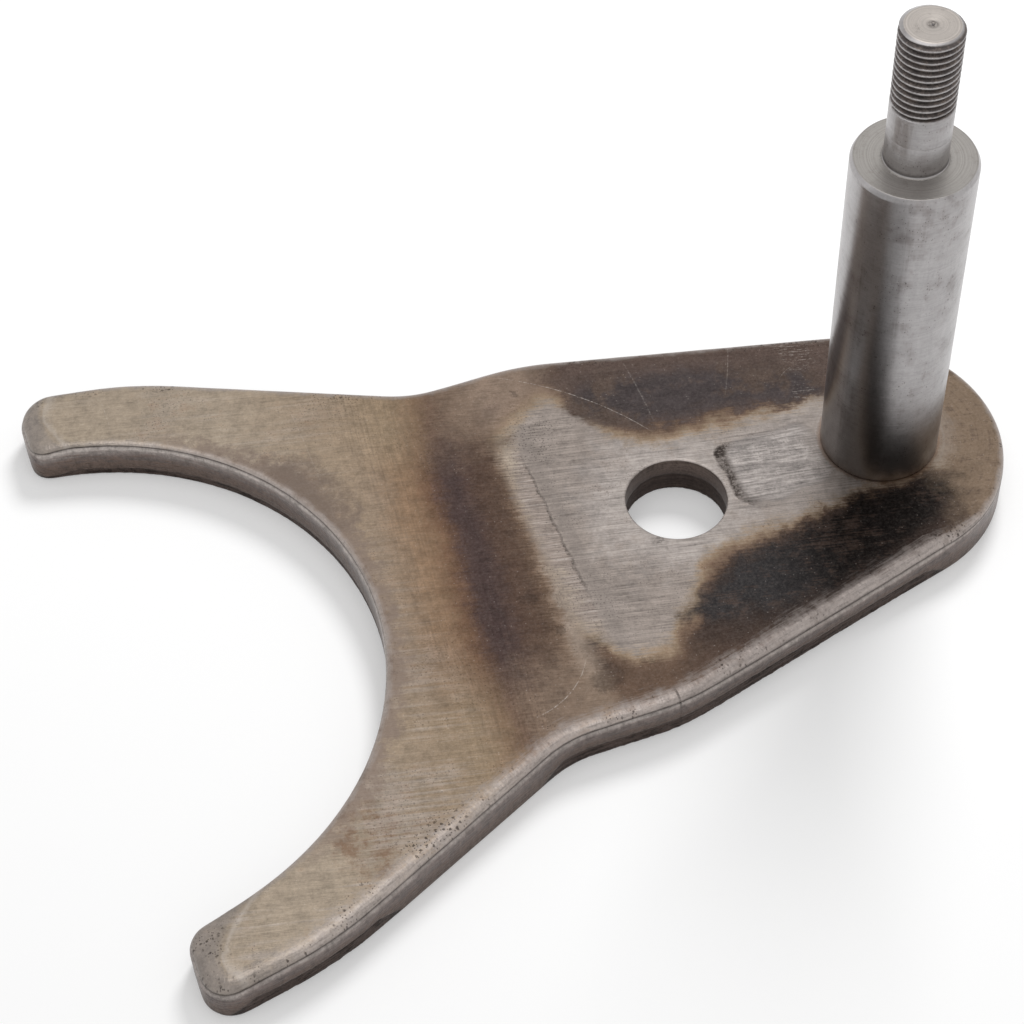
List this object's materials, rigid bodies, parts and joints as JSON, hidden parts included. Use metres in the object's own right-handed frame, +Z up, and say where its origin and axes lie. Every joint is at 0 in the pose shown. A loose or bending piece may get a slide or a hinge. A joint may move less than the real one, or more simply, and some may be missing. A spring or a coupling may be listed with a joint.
{
  "type": "shift fork",
  "caption": "Blanked steel shift fork: flat plate with a half-round mouth and a guide hole, and an upright shouldered shaft that ends in a threaded stud.",
  "frame": {"origin": "on the shaft's axis, in the plate's underside", "axes": "+Z up the shaft towards the stud, -X towards the fork's mouth, Y across the arms"},
  "size_m": [0.1768, 0.1396, 0.1095],
  "materials": {
    "plate_steel": "brushed blanked plate with straw, brown and blue heat tint",
    "shaft_steel": "turned and ground, fine stains and pits"
  },
  "bodies": {
    "root": {"fork_plate": "plate_steel", "shift_shaft": "shaft_steel"}
  },
  "joints": []
}
